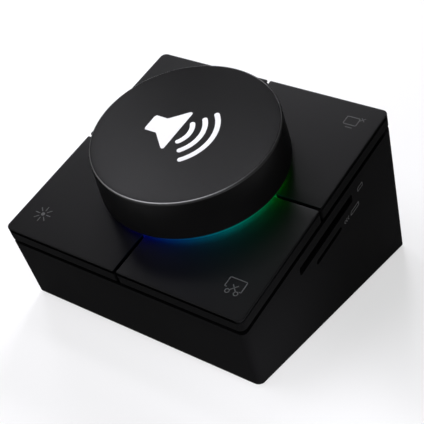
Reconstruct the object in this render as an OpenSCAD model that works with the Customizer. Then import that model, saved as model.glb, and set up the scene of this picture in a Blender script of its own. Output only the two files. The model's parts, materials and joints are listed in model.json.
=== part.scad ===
// Desk hub with a volume knob: a square wedge whose sloping top holds four quadrant keys round a lit dial.
// Lengths are in millimetres and +Z is up. The short front wall faces -Y, the card slots face +X.
// The origin lies on the desk, under the middle of the outer box. Inside on_slope() the origin is the
// middle of the key tops, +Z stands square to the slope and +Y runs up it.

/* [Body] */
// Side of the square body, measured along the slope
body_side = 68; // [65:1:76]
// Slope of the top in degrees
tilt = 20; // [15:1:24]
// Height of the front wall along the wall, key tops included
front_h = 24; // [22:0.5:32]
// Wall of the housing
wall = 2.2; // [1.8:0.1:2.6]
// Radius of the four upright corners
corner_r = 1.6; // [1.2:0.1:4]
// Thickness of the base cover
base_t = 2.4; // [2.2:0.1:3.2]
// Play between the base cover and the walls round it
base_play = 0.15; // [0.1:0.05:0.3]

/* [Feet and base screws] */
// Radius of a rubber foot
foot_r = 5; // [4:0.5:7]
// How far a foot stands out of the base
foot_out = 0.8; // [0.5:0.1:1.6]
// Depth of the recess that holds a foot
foot_sink = 0.6; // [0.4:0.1:1]
// Distance from the base's edges to a foot's middle
foot_inset = 13; // [11:0.5:17]
// Distance from the front and back of the base to a screw's middle
base_screw_inset = 9.5; // [8:0.5:10]
// Height of a screw boss above the base cover
boss_h = 8; // [6:0.5:9]
// Radius of a screw boss
boss_r = 3; // [2.6:0.1:3.4]

/* [Keys] */
// Depth of a key from its top to the lower edge of its skirt
key_h = 3.8; // [3.4:0.1:5]
// Thickness of a key's top
key_top_t = 1.6; // [1.2:0.1:2]
// Thickness of a key's skirt
key_wall = 1.4; // [1:0.1:1.8]
// Bevel along the outer top edge of the keys
key_edge = 0.15; // [0.1:0.05:0.3]
// Thickness of a key's edge above the shadow groove round its outer sides
groove_top = 0.35; // [0.35:0.05:0.5]
// Height of the shadow groove
groove_h = 0.7; // [0.4:0.1:0.8]
// Depth of the shadow groove
groove_d = 0.3; // [0.2:0.05:0.5]
// Gap between neighbouring keys
key_split = 0.8; // [0.5:0.1:1.2]
// Radius of a key's corners beside that gap
key_split_r = 0.6; // [0.3:0.1:1]
// Shadow gap between the skirts and the housing's rim
key_gap = 1.2; // [0.8:0.1:1.4]
// Travel of a key
key_travel = 0.6; // [0.3:0.1:0.7]
// Distance from the body's sides to a key's guide post
post_inset = 12; // [11.5:0.1:12.5]
// Radius of a guide post
post_r = 2.5; // [2.2:0.1:2.8]
// Height and width of the ribs under a key's top
key_rib = 0.8; // [0.5:0.1:1]
// Distance from the body's side to a snap hook
hook_inset = 4.6; // [4.4:0.1:5]
// Distance from the middle of the body to a snap hook, along the side
hook_along = 17; // [16.5:0.1:17.5]
// Width of a snap hook
hook_w = 3; // [2.4:0.1:3.4]
// Thickness of a snap hook
hook_t = 1.2; // [1:0.1:1.4]
// Barb of a snap hook
hook_barb = 0.6; // [0.4:0.1:0.8]

/* [Knob] */
// Radius of the knob's lower rim
knob_r = 23.5; // [22:0.1:25]
// How much the knob narrows from its lower rim to its top
knob_taper = 0.5; // [0:0.1:1]
// Height of the knob
knob_h = 11.2; // [9.5:0.1:16]
// Height of the knob's lower rim over the key tops
knob_lift = 1.9; // [1.7:0.1:3]
// Wall of the knob's shell
knob_wall = 1.8; // [1.2:0.1:2.4]
// Rounding of the knob's top edge
knob_edge = 0.6; // [0.3:0.1:1]
// Press travel of the knob
press_travel = 0.5; // [0.3:0.1:0.6]
// Radius of the boss that grips the shaft
hub_boss_r = 6; // [5:0.1:7]
// Thickness of the hub's disc, ribs and rim
hub_t = 1.6; // [1.2:0.1:2]
// How far the hub's rim lies above the knob's lower rim
hub_up = 1.1; // [0.6:0.1:2]
// Number of ribs under the hub's disc
hub_ribs = 6; // [4:1:8]

/* [Light ring] */
// How far the light ring lies inside the knob's lower rim
ring_inset = 2; // [0.5:0.1:2.4]
// How far the light ring stands above the key tops
ring_proud = 0.3; // [0.1:0.1:0.6]
// Thickness of the light ring's wall
ring_wall = 1.2; // [1:0.1:1.6]
// Thickness of the light ring's flat top
ring_t = 1; // [0.8:0.1:1.2]
// Width of the light ring's flat top, which covers the lamp board
ring_w = 14; // [13:0.1:14.5]
// Gap between the light ring and the keys
ring_gap = 0.4; // [0.3:0.1:0.7]
// Number of lamps under the ring
led_count = 12; // [8:1:16]
// Side of a lamp
led_side = 3.5; // [2.8:0.1:3.6]
// Height of a lamp
led_h = 1.3; // [1:0.1:1.4]
// Distance from the light ring's edge to the middle of a lamp
led_inset = 3.6; // [3.5:0.1:5]
// Thickness of the lamp board
led_board_t = 1; // [0.8:0.1:1.2]

/* [Deck and main board] */
// Thickness of the deck
deck_t = 2; // [1.6:0.1:2.4]
// Play between the deck and the walls
deck_play = 0.2; // [0.1:0.05:0.4]
// Thickness of the lip round the deck, behind the shadow gap
lip_t = 0.8; // [0.6:0.1:0.9]
// Thickness of the turret that carries the lamp board
turret_t = 1.5; // [1.2:0.1:1.8]
// Room between the deck and the main board
standoff_h = 3.7; // [3.6:0.1:4.4]
// Radius of a standoff
standoff_r = 2.6; // [2.2:0.1:3]
// Distance of the standoffs from the middle of the board, across the slope
standoff_x = 10; // [9:0.5:11]
// Distance of the standoffs from the middle of the board, along the slope
standoff_y = 26; // [25:0.5:27]
// Thickness of the main board
board_t = 1.6; // [1:0.1:2]
// Gap between the main board and the walls
board_gap = 1.3; // [0.8:0.1:1.8]
// Side of the corner pads that carry the deck
pad_side = 5.4; // [5.2:0.1:5.8]
// Depth of the corner pads
pad_h = 8; // [6:0.5:10]

/* [Encoder and switches] */
// Side of the encoder's body
encoder_side = 12; // [11:0.5:13]
// Radius of the shaft
shaft_r = 3; // [2.5:0.1:3.2]
// Depth of the flat along the shaft
shaft_flat = 1.5; // [1:0.1:1.8]
// Radius of the threaded bush
bush_r = 3.9; // [3.7:0.1:4.2]
// Length of the threaded bush
bush_len = 5.2; // [4.8:0.1:5.4]
// Thickness of the nut
nut_t = 1.8; // [1.5:0.1:2]
// Width of the nut across its flats
nut_flats = 10; // [9.5:0.5:11]
// Side of a switch body
switch_side = 6; // [5:0.1:6.4]
// Height of a switch body
switch_h = 3.1; // [2.6:0.1:3.2]
// Radius of a switch plunger
switch_plunger_r = 1.7; // [1.4:0.1:1.9]

/* [Sockets] */
// Width of the SD card slot
sd_w = 24.6; // [24.4:0.1:25.4]
// Height of the SD card slot
sd_h = 2.5; // [2.3:0.1:2.6]
// Place of the SD card slot along the right wall
sd_along = 0.6; // [-0.6:0.1:0.8]
// Width of the microSD card slot
micro_w = 11.8; // [11.4:0.1:12.4]
// Height of the microSD card slot
micro_h = 1.3; // [1.2:0.1:1.5]
// Place of the microSD card slot along the right wall
micro_along = 0.8; // [-2:0.1:3]
// Width of a USB-A shell
usb_a_w = 13.1; // [13:0.1:13.6]
// Height of a USB-A shell
usb_a_h = 5.7; // [5.6:0.1:6]
// Distance between the two USB-A sockets
usb_a_pitch = 20; // [17:0.5:24]
// Width of the USB-C shell
usb_c_w = 8.94; // [8.9:0.02:9.1]
// Height of the USB-C shell
usb_c_h = 3.26; // [3.2:0.02:3.4]
// Thickness of the sockets' sheet metal
shell_t = 0.3; // [0.25:0.05:0.4]
// Play round a socket in its wall opening
mouth_play = 0.3; // [0.2:0.05:0.5]

/* [Hidden] */
$fn = 96;

// Clearances shared by the pieces
eps = 0.5;             // overlap of pieces that are moulded as one, and overshoot of cuts
thread_play = 0.05;    // round a screw in its hole
slide_play = 0.1;      // round what slides
turn_play = 0.05;      // round the shaft and the press plunger
stop_play = 0.1;       // under a hook's barb and over the shaft's collar
free_play = 0.3;       // between pieces that only pass each other

// Screws: small ones hold the deck and the boards, larger ones the base cover
small_r = 0.9;
small_head_r = 1.6;
small_head_h = 1.1;
base_screw_r = 1.1;
base_head_r = 2.1;
base_head_h = 1.2;
base_head_sink = 0.2;
base_screw_grip = 6;
pad_screw_grip = 5;
standoff_grip = 3;

// The slope and the body
half = body_side / 2;
inner_half = half - wall;
least_r = 0.5;
inner_r = max(corner_r - wall, least_r);
back_h = front_h + body_side * tan(tilt);
base_len = body_side / cos(tilt);
top_y = -(back_h + key_edge) * sin(tilt) / 2;
top_z = foot_out + half * sin(tilt) + front_h * cos(tilt);
base_mid_y = top_y + (back_h + front_h) / 2 * sin(tilt);
base_top = foot_out + base_t;
column_h = back_h + wall;

// Levels on the slope, from the key tops at 0
rim_z = -(key_h + key_gap);
deck_z = rim_z - deck_t;
board_z = deck_z - standoff_h;
board_low = board_z - board_t;
ring_top = ring_proud;
led_gap = 0.2;
led_board_z = ring_top - ring_t - led_gap - led_h;
turret_z = led_board_z - led_board_t;
turret_low = turret_z - turret_t;
knob_top = knob_lift + knob_h;
knob_ceiling = knob_top - knob_wall;

// Light ring, turret and key arc, all from the knob's rim
ring_r = knob_r - ring_inset;
ring_in = ring_r - ring_w;
arc_r = ring_r + ring_gap;
turret_r = ring_r - ring_wall - deck_play;
turret_wall = 1.5;
led_board_in = 9;
led_screw_ring = 11.5;
led_screw_count = 3;
led_ring = ring_r - led_inset;
ring_edge = 0.4;

// Keys, posts and switches
post_at = half - post_inset;
hook_out = half - hook_inset;
key_lift_room = key_top_t + key_rib + key_travel + free_play;
guide_wall = 1.2;
guide_r = post_r + slide_play + guide_wall;
switch_top = board_z + switch_h;
plunger_top = switch_top + key_travel + slide_play;
plunger_grip = 1.2;
switch_floor = switch_top - plunger_grip - key_travel - slide_play;
hook_tip = 1.1;

// Encoder
bush_top = turret_low + bush_len;
collar_w = 1.2;
collar_r = shaft_r + collar_w;
collar_t = 1.1;
encoder_roof = 1.2;
chamber_top = turret_low - encoder_roof;
collar_top = chamber_top - stop_play;
shaft_foot = 0.2;
shaft_low = collar_top - collar_t - shaft_foot;
chamber_low = shaft_low - press_travel - free_play;
press_r = 2.2;
press_grip = 1;
press_low = chamber_low - press_grip;
press_floor = press_low - press_travel - stop_play;
washer_t = 0.5;
washer_edge = 0.6;
washer_r = nut_flats / 2 + washer_edge;
shaft_top = knob_ceiling - hub_t - free_play;

// Header between the main board and the lamp board
header_at = 13.5;
header_pins = 4;
header_pitch = 2.54;
header_base = 2.5;
pin_w = 0.64;

// Sockets
shell_face = inner_half - mouth_play;
mouth_r = 0.6;
card_floor = 0.4;
card_side = 1.2;
sd_clear = 1.5;
sd_back = 3;
sd_len = shell_face - encoder_side / 2 - sd_clear;
sd_deep = sd_len - sd_back;
sd_z = board_z + card_floor + sd_h / 2;
sd_top_t = 0.3;
micro_deep = 13;
micro_len = 15;
micro_z = board_low - card_floor - micro_h / 2;
usb_a_len = 14;
usb_a_back = 4;
usb_a_tongue_w = 11.1;
usb_a_tongue_t = 1.84;
usb_a_tongue_len = 8.4;
usb_a_tongue_up = 0.6;
usb_a_z = board_low - usb_a_h / 2;
usb_c_len = 7.3;
usb_c_back = 2;
usb_c_tongue_w = 6.7;
usb_c_tongue_t = 0.7;
usb_c_tongue_len = 4.4;
usb_c_z = board_low - usb_c_h / 2;

// Controller chips under the main board: side, height and place
hub_chip = 9;
reader_chip = 6;
chip_h = 0.9;
hub_chip_at = [-2, -10];
reader_chip_at = [8, 4];

black = "#17181a";
charcoal = "#202124";
metal = "#c9ccd0";
green = "#1d4a34";
pale = "#e8ecef";

// Moves children from the slope's frame to the desk's
module on_slope() {
    translate([0, top_y, top_z]) rotate([tilt, 0, 0]) children();
}

// Rectangle with round corners
module rounded(sx, sy, r) {
    square([sx - 2 * r, sy], center = true);
    square([sx, sy - 2 * r], center = true);
    for (x = [-1, 1], y = [-1, 1])
        translate([x * (sx / 2 - r), y * (sy / 2 - r)]) circle(r);
}

// Square column with round corners, from a top level downwards
module column(side, r, top, h) {
    translate([0, 0, top - h]) linear_extrude(h) rounded(side, side, r);
}

// Block with round corners, trimmed by a hipped roof that leaves a bevel round its top at level 0
module bevelled(side, r, h, bevel) {
    corner = side / 2 - r;
    roof_h = h + eps;
    high = corner + (r - bevel);
    low = corner + (r - bevel + roof_h);
    intersection() {
        translate([0, 0, -h]) linear_extrude(h + eps) rounded(side, side, r);
        union() {
            for (turn = [0, 90]) rotate([90, 0, turn]) linear_extrude(2 * corner, center = true)
                polygon([[-low, -roof_h], [low, -roof_h], [high, 0], [-high, 0]]);
            at_corners(corner, corner) translate([0, 0, -roof_h])
                cylinder(r1 = r - bevel + roof_h, r2 = r - bevel, h = roof_h);
        }
    }
}

// Everything above the underside of the base
module above_base() {
    translate([-body_side, -2 * base_len, foot_out]) cube([2 * body_side, 4 * base_len, 2 * back_h]);
}

// Copies of children at the four corners of a rectangle
module at_corners(x, y) {
    for (i = [-1, 1], j = [-1, 1]) translate([i * x, j * y, 0]) children();
}

// Copies of children under the four keys; number 0 is back right, counted anticlockwise
module at_key(k) {
    rotate([0, 0, 90 * k]) children();
}

// Prism along X from a rectangle that is w along the wall and h square to the slope
module along_x(w, h, r, len) {
    rotate([90, 0, 90]) linear_extrude(len) rounded(w, h, r);
}

// Prism along Y, running up the slope
module along_y(w, h, r, len) {
    rotate([90, 0, 180]) linear_extrude(len) rounded(w, h, r);
}

// Screw with its head's underside at level 0 and its shank downwards
module screw(r, head_r, head_h, len) {
    translate([0, 0, -len]) cylinder(r = r, h = len);
    cylinder(r = head_r, h = head_h);
}

// Places of the base screws: each boss is sunk into the side wall
module at_base_screws() {
    translate([0, base_mid_y, 0])
        at_corners(inner_half - boss_r + eps, base_len / 2 - base_screw_inset) children();
}

module at_feet() {
    translate([0, base_mid_y, 0]) at_corners(half - foot_inset, base_len / 2 - foot_inset) children();
}

module at_pads() {
    at_corners(inner_half - pad_side / 2, inner_half - pad_side / 2) children();
}

module housing() {
    color(black) difference() {
        union() {
            intersection() {
                on_slope() difference() {
                    column(body_side, corner_r, rim_z, column_h);
                    column(2 * inner_half, inner_r, rim_z + eps, column_h + 2 * eps);
                }
                above_base();
            }
            on_slope() intersection() {
                at_pads() translate([0, 0, deck_z - pad_h]) linear_extrude(pad_h)
                    square(pad_side + 2 * eps, center = true);
                column(2 * inner_half + eps, inner_r, deck_z, column_h);
            }
            at_base_screws() translate([0, 0, base_top]) cylinder(r = boss_r, h = boss_h);
        }
        on_slope() {
            at_pads() translate([0, 0, deck_z - pad_screw_grip - eps])
                cylinder(r = small_r + thread_play, h = pad_screw_grip + 2 * eps);
            translate([inner_half - eps, sd_along, sd_z]) along_x(sd_w, sd_h, mouth_r, wall + 2 * eps);
            translate([inner_half - eps, micro_along, micro_z])
                along_x(micro_w, micro_h, mouth_r, wall + 2 * eps);
            for (side = [-1, 1]) translate([-half - eps, side * usb_a_pitch / 2, usb_a_z])
                along_x(usb_a_w + 2 * mouth_play, usb_a_h + 2 * mouth_play, mouth_r, wall + 2 * eps);
            translate([0, inner_half - eps, usb_c_z]) along_y(usb_c_w + 2 * mouth_play,
                usb_c_h + 2 * mouth_play, usb_c_h / 2, wall + 2 * eps);
        }
        at_base_screws() translate([0, 0, base_top - eps])
            cylinder(r = base_screw_r + thread_play, h = base_screw_grip + 2 * eps);
    }
}

module base_cover() {
    color(charcoal) difference() {
        intersection() {
            on_slope() column(2 * (inner_half - base_play), inner_r, rim_z, column_h);
            translate([-body_side, -base_len, foot_out]) cube([2 * body_side, 2 * base_len, base_t]);
        }
        at_feet() translate([0, 0, foot_out - eps]) cylinder(r = foot_r + thread_play, h = foot_sink + eps);
        at_base_screws() {
            translate([0, 0, foot_out - eps]) cylinder(r = base_screw_r + thread_play, h = base_t + 2 * eps);
            translate([0, 0, foot_out - eps])
                cylinder(r = base_head_r + slide_play, h = base_head_h + base_head_sink + eps);
        }
    }
}

module base_screws() {
    color(metal) at_base_screws() translate([0, 0, foot_out + base_head_h + base_head_sink])
        mirror([0, 0, 1]) screw(base_screw_r, base_head_r, base_head_h,
            base_t - base_head_h - base_head_sink + base_screw_grip);
}

module rubber_feet() {
    color(charcoal) at_feet() cylinder(r = foot_r, h = foot_out + foot_sink);
}

module deck() {
    deck_half = inner_half - deck_play;
    lip_h = -key_lift_room - rim_z;
    lip_notch = key_split + 2 * (key_wall + free_play);
    color(charcoal) on_slope() difference() {
        union() {
            column(2 * deck_half, inner_r, rim_z, deck_t);
            difference() {
                column(2 * deck_half, inner_r, -key_lift_room, lip_h + eps);
                column(2 * (deck_half - lip_t), least_r, eps - key_lift_room, lip_h + 3 * eps);
                for (k = [0:3]) at_key(k) translate([-lip_notch / 2, 0, rim_z])
                    cube([lip_notch, half, lip_h + eps]);
            }
            translate([0, 0, deck_z]) cylinder(r = turret_r, h = turret_z - deck_z);
            for (k = [0:3]) at_key(k) translate([post_at, post_at, deck_z])
                cylinder(r = guide_r, h = -key_lift_room - deck_z);
            at_corners(standoff_x, standoff_y) translate([0, 0, board_z])
                cylinder(r = standoff_r, h = standoff_h + eps);
        }
        translate([0, 0, deck_z - eps]) cylinder(r = turret_r - turret_wall, h = turret_low - deck_z + eps);
        translate([0, 0, turret_low - eps]) cylinder(r = bush_r + slide_play, h = turret_t + 2 * eps);
        translate([0, -header_at, turret_low + turret_t / 2]) cube([header_pins * header_pitch,
            header_base, turret_t + 2 * eps], center = true);
        at_led_screws() translate([0, 0, turret_low - eps])
            cylinder(r = small_r + thread_play, h = turret_t + 2 * eps);
        for (k = [0:3]) at_key(k) {
            translate([post_at, post_at, deck_z - eps])
                cylinder(r = post_r + slide_play, h = deck_t + key_h + 2 * eps);
            hook_slots();
        }
        at_pads() translate([0, 0, deck_z - eps])
            cylinder(r = small_r + slide_play, h = deck_t + 2 * eps);
        at_corners(standoff_x, standoff_y) translate([0, 0, board_z - eps])
            cylinder(r = small_r + thread_play, h = standoff_grip + 2 * eps);
    }
}

module deck_screws() {
    color(metal) on_slope() at_pads() translate([0, 0, rim_z])
        screw(small_r, small_head_r, small_head_h, deck_t + pad_screw_grip);
}

// Cuts in the deck for the two hooks of one key
module hook_slots() {
    for (flip = [0, 1]) mirror([flip, -flip, 0]) translate([hook_out, hook_along, deck_z + deck_t / 2])
        cube([hook_t + 2 * free_play, hook_w + 2 * free_play, deck_t + 2 * eps], center = true);
}

// One hook: a tongue with a barb that stops under the deck
module hook() {
    barb_z = deck_z - stop_play;
    translate([0, hook_w / 2, 0]) rotate([90, 0, 0]) linear_extrude(hook_w) polygon([
        [-hook_t / 2, -key_top_t + eps], [hook_t / 2, -key_top_t + eps], [hook_t / 2, barb_z],
        [hook_t / 2 + hook_barb, barb_z], [hook_t / 2 + hook_barb, barb_z - hook_barb / 2],
        [0, barb_z - hook_tip], [-hook_t / 2, barb_z - hook_tip]]);
}

// Inner outline of the back right key, drawn in by an inset and open past the body's outer sides
module key_outline(inset, r) {
    near = key_split / 2 + inset;
    far = half - inset;
    difference() {
        translate([near, near]) square(far - near + eps);
        circle(arc_r + inset);
        for (flip = [0, 1]) mirror([flip, -flip]) translate([far, near]) difference() {
            translate([-r, -eps]) square([r + 2 * eps, r + eps]);
            translate([-r, r]) circle(r);
        }
    }
}

// One key cap in the back right place
module key_cap() {
    difference() {
        intersection() {
            bevelled(body_side, corner_r, key_h, key_edge);
            translate([0, 0, -key_h - eps]) linear_extrude(key_h + 2 * eps) key_outline(0, key_split_r);
        }
        intersection() {
            translate([0, 0, -key_h - eps]) linear_extrude(key_h - key_top_t + eps)
                key_outline(key_wall, least_r);
            column(body_side - 2 * key_wall, max(corner_r - key_wall, least_r), eps - key_top_t, key_h + eps);
        }
        difference() {
            column(body_side + 2 * eps, corner_r, -groove_top, groove_h);
            column(body_side - 2 * groove_d, corner_r - groove_d, eps - groove_top, groove_h + 2 * eps);
        }
    }
    translate([post_at, post_at, plunger_top]) cylinder(r = post_r, h = -key_top_t + eps - plunger_top);
    for (flip = [0, 1]) mirror([flip, -flip, 0]) {
        translate([hook_out, hook_along, 0]) hook();
        translate([post_at, post_at - key_rib / 2, -key_top_t - key_rib])
            cube([half - key_wall + eps - post_at, key_rib, key_rib + eps]);
    }
}

module key_front_left() {
    color(charcoal) on_slope() at_key(2) key_cap();
}

module key_front_right() {
    color(charcoal) on_slope() at_key(3) key_cap();
}

module key_back_left() {
    color(charcoal) on_slope() at_key(1) key_cap();
}

module key_back_right() {
    color(charcoal) on_slope() at_key(0) key_cap();
}

module switch_bodies() {
    color(black) on_slope() for (k = [0:3]) at_key(k) translate([post_at, post_at, 0]) difference() {
        translate([-switch_side / 2, -switch_side / 2, board_z]) cube([switch_side, switch_side, switch_h]);
        translate([0, 0, switch_floor]) cylinder(r = switch_plunger_r + slide_play, h = switch_h);
    }
}

// Switch plunger under one key
module plunger() {
    translate([post_at, post_at, switch_top - plunger_grip])
        cylinder(r = switch_plunger_r, h = plunger_top - switch_top + plunger_grip);
}

module plunger_front_left() {
    color(pale) on_slope() at_key(2) plunger();
}

module plunger_front_right() {
    color(pale) on_slope() at_key(3) plunger();
}

module plunger_back_left() {
    color(pale) on_slope() at_key(1) plunger();
}

module plunger_back_right() {
    color(pale) on_slope() at_key(0) plunger();
}

module main_board() {
    board_half = inner_half - board_gap;
    color(green) on_slope() difference() {
        translate([-board_half, -board_half, board_low]) cube([2 * board_half, 2 * board_half, board_t]);
        at_pads() translate([0, 0, board_low + board_t / 2]) cube([pad_side + 2 * eps + 2 * free_play,
            pad_side + 2 * eps + 2 * free_play, board_t + 2 * eps], center = true);
        at_corners(standoff_x, standoff_y) translate([0, 0, board_low - eps])
            cylinder(r = small_r + slide_play, h = board_t + 2 * eps);
    }
}

module board_screws() {
    color(metal) on_slope() at_corners(standoff_x, standoff_y) translate([0, 0, board_low])
        mirror([0, 0, 1]) screw(small_r, small_head_r, small_head_h, board_t + standoff_grip);
}

module chips() {
    color(black) on_slope() translate([0, 0, board_low - chip_h]) {
        translate(hub_chip_at) linear_extrude(chip_h) square(hub_chip, center = true);
        translate(reader_chip_at) linear_extrude(chip_h) square(reader_chip, center = true);
    }
}

module sd_socket() {
    out_w = sd_w + 2 * card_side;
    color(metal) on_slope() difference() {
        translate([shell_face - sd_len, sd_along - out_w / 2, board_z])
            cube([sd_len, out_w, card_floor + sd_h + sd_top_t]);
        translate([shell_face - sd_deep, sd_along - sd_w / 2, board_z + card_floor])
            cube([sd_deep + eps, sd_w, sd_h]);
    }
}

module micro_sd_socket() {
    out_w = micro_w + 2 * card_side;
    out_h = 2 * card_floor + micro_h;
    color(metal) on_slope() difference() {
        translate([shell_face - micro_len, micro_along - out_w / 2, board_low - out_h])
            cube([micro_len, out_w, out_h]);
        translate([shell_face - micro_deep, micro_along - micro_w / 2, micro_z - micro_h / 2])
            cube([micro_deep + eps, micro_w, micro_h]);
    }
}

module at_usb_a() {
    for (side = [-1, 1]) translate([-shell_face, side * usb_a_pitch / 2, usb_a_z]) children();
}

module usb_a_shells() {
    color(metal) on_slope() at_usb_a() difference() {
        along_x(usb_a_w, usb_a_h, mouth_r, usb_a_len);
        translate([-eps, 0, 0])
            along_x(usb_a_w - 2 * shell_t, usb_a_h - 2 * shell_t, mouth_r - shell_t, usb_a_len + 2 * eps);
    }
}

module usb_a_tongues() {
    block_w = usb_a_w - 2 * shell_t - 2 * thread_play;
    block_h = usb_a_h - 2 * shell_t - 2 * thread_play;
    tongue_x = usb_a_len - usb_a_back - usb_a_tongue_len;
    color(black) on_slope() at_usb_a() {
        translate([usb_a_len - usb_a_back, 0, 0]) along_x(block_w, block_h, mouth_r - shell_t, usb_a_back);
        translate([tongue_x, -usb_a_tongue_w / 2, usb_a_tongue_up - usb_a_tongue_t / 2])
            cube([usb_a_tongue_len + eps, usb_a_tongue_w, usb_a_tongue_t]);
    }
}

module at_usb_c() {
    translate([0, shell_face - usb_c_len, usb_c_z]) children();
}

module usb_c_shell() {
    in_w = usb_c_w - 2 * shell_t;
    in_h = usb_c_h - 2 * shell_t;
    color(metal) on_slope() at_usb_c() difference() {
        along_y(usb_c_w, usb_c_h, usb_c_h / 2 - thread_play, usb_c_len);
        translate([0, -eps, 0]) along_y(in_w, in_h, in_h / 2 - thread_play, usb_c_len + 2 * eps);
    }
}

module usb_c_tongue() {
    block_w = usb_c_w - 2 * shell_t - 2 * thread_play;
    block_h = usb_c_h - 2 * shell_t - 2 * thread_play;
    color(black) on_slope() at_usb_c() {
        along_y(block_w, block_h, block_h / 2 - thread_play, usb_c_back);
        translate([-usb_c_tongue_w / 2, usb_c_back - eps, -usb_c_tongue_t / 2])
            cube([usb_c_tongue_w, usb_c_tongue_len + eps, usb_c_tongue_t]);
    }
}

module at_led_screws() {
    for (k = [0:led_screw_count - 1]) rotate([0, 0, 90 + k * 360 / led_screw_count])
        translate([led_screw_ring, 0, 0]) children();
}

module led_board() {
    color(green) on_slope() difference() {
        translate([0, 0, turret_z]) cylinder(r = turret_r - free_play, h = led_board_t);
        translate([0, 0, turret_z - eps]) cylinder(r = led_board_in, h = led_board_t + 2 * eps);
        at_led_screws() translate([0, 0, turret_z - eps])
            cylinder(r = small_r + slide_play, h = led_board_t + 2 * eps);
    }
}

module led_screws() {
    color(metal) on_slope() at_led_screws() translate([0, 0, led_board_z])
        screw(small_r, small_head_r, small_head_h, led_board_t + turret_t);
}

module leds() {
    color(pale) on_slope() for (k = [0:led_count - 1]) rotate([0, 0, k * 360 / led_count])
        translate([led_ring - led_side / 2, -led_side / 2, led_board_z]) cube([led_side, led_side, led_h]);
}

module led_header() {
    color(black) on_slope() translate([0, -header_at, 0]) {
        translate([-header_pins * header_pitch / 2, -header_base / 2, board_z])
            cube([header_pins * header_pitch, header_base, header_base]);
        for (k = [0:header_pins - 1])
            translate([(k - (header_pins - 1) / 2) * header_pitch - pin_w / 2, -pin_w / 2, board_z])
                cube([pin_w, pin_w, turret_z - board_z]);
    }
}

module light_ring() {
    color(pale) on_slope() rotate_extrude() polygon([
        [ring_r - ring_wall, rim_z], [ring_r, rim_z], [ring_r, ring_top - ring_edge],
        [ring_r - ring_edge, ring_top], [ring_in, ring_top], [ring_in, ring_top - ring_t],
        [ring_r - ring_wall, ring_top - ring_t]]);
}

module encoder_body() {
    color(metal) on_slope() difference() {
        union() {
            translate([-encoder_side / 2, -encoder_side / 2, board_z])
                cube([encoder_side, encoder_side, turret_low - board_z]);
            translate([0, 0, turret_low - eps]) cylinder(r = bush_r, h = bush_len + eps);
        }
        translate([0, 0, chamber_low]) cylinder(r = shaft_r + turn_play, h = bush_top - chamber_low + eps);
        translate([0, 0, chamber_low])
            cylinder(r = collar_r + free_play, h = chamber_top - chamber_low);
        translate([0, 0, press_floor]) cylinder(r = press_r + turn_play, h = chamber_low - press_floor + eps);
    }
}

module encoder_washer() {
    color(metal) on_slope() translate([0, 0, turret_z]) difference() {
        cylinder(r = washer_r, h = washer_t);
        translate([0, 0, -eps]) cylinder(r = bush_r + slide_play, h = washer_t + 2 * eps);
    }
}

module encoder_nut() {
    color(metal) on_slope() translate([0, 0, turret_z + washer_t]) difference() {
        cylinder(r = nut_flats / 2 / cos(30), h = nut_t, $fn = 6);
        translate([0, 0, -eps]) cylinder(r = bush_r + thread_play, h = nut_t + 2 * eps);
    }
}

module encoder_plunger() {
    color(pale) on_slope() translate([0, 0, press_low]) cylinder(r = press_r, h = shaft_low - press_low);
}

// Outline of the shaft above the bush: round with one flat
module shaft_outline(play) {
    difference() {
        circle(shaft_r + play);
        translate([shaft_r - shaft_flat + play, -shaft_r - eps])
            square([shaft_flat + eps, 2 * (shaft_r + eps)]);
    }
}

module encoder_shaft() {
    flat_z = bush_top + press_travel;
    color(metal) on_slope() {
        translate([0, 0, shaft_low]) cylinder(r = shaft_r, h = flat_z - shaft_low);
        translate([0, 0, collar_top - collar_t]) cylinder(r = collar_r, h = collar_t);
        translate([0, 0, flat_z - eps]) linear_extrude(shaft_top - flat_z + eps) shaft_outline(0);
    }
}

module knob_shell() {
    top_r = knob_r - knob_taper;
    color(charcoal) on_slope() rotate_extrude() difference() {
        polygon([[0, knob_top], [top_r, knob_top], [top_r, knob_top - knob_edge], [knob_r, knob_lift],
            [knob_r - knob_wall, knob_lift], [top_r - knob_wall, knob_ceiling], [0, knob_ceiling]]);
        translate([top_r - knob_edge, knob_top - knob_edge]) difference() {
            square(knob_edge + eps);
            circle(knob_edge);
        }
    }
}

module knob_hub() {
    rim_r = knob_r - knob_taper - knob_wall - free_play;
    disc_z = knob_ceiling - hub_t;
    rim_low = knob_lift + hub_up;
    color(black) on_slope() difference() {
        union() {
            translate([0, 0, disc_z]) cylinder(r = rim_r, h = hub_t);
            translate([0, 0, knob_lift]) cylinder(r = hub_boss_r, h = knob_ceiling - knob_lift);
            translate([0, 0, rim_low]) difference() {
                cylinder(r = rim_r, h = disc_z - rim_low + eps);
                translate([0, 0, -eps]) cylinder(r = rim_r - hub_t, h = disc_z - rim_low + 3 * eps);
            }
            for (k = [0:hub_ribs - 1]) rotate([0, 0, k * 360 / hub_ribs])
                translate([0, -hub_t / 2, rim_low]) cube([rim_r - hub_t / 2, hub_t, disc_z - rim_low + eps]);
        }
        translate([0, 0, knob_lift - eps]) linear_extrude(shaft_top + free_play - knob_lift + eps)
            shaft_outline(thread_play);
    }
}

housing();
base_cover();
base_screws();
rubber_feet();
deck();
deck_screws();
main_board();
board_screws();
chips();
sd_socket();
micro_sd_socket();
usb_a_shells();
usb_a_tongues();
usb_c_shell();
usb_c_tongue();
led_board();
led_screws();
leds();
led_header();
light_ring();
encoder_body();
encoder_washer();
encoder_nut();
encoder_plunger();
encoder_shaft();
knob_shell();
knob_hub();
switch_bodies();
key_front_left();
key_front_right();
key_back_left();
key_back_right();
plunger_front_left();
plunger_front_right();
plunger_back_left();
plunger_back_right();
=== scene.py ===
"""Desk hub with a lit volume knob: finishes, mesh detail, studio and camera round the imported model.

Lengths on the object are in millimetres until on_slope() or standing_at() turns them into the desk's
metres. A point of the sloping top is (u, v, w): u runs across it to the card slots, v runs up it and
w stands square to it, all from the middle of the key tops.
"""
import colorsys
import json

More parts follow.
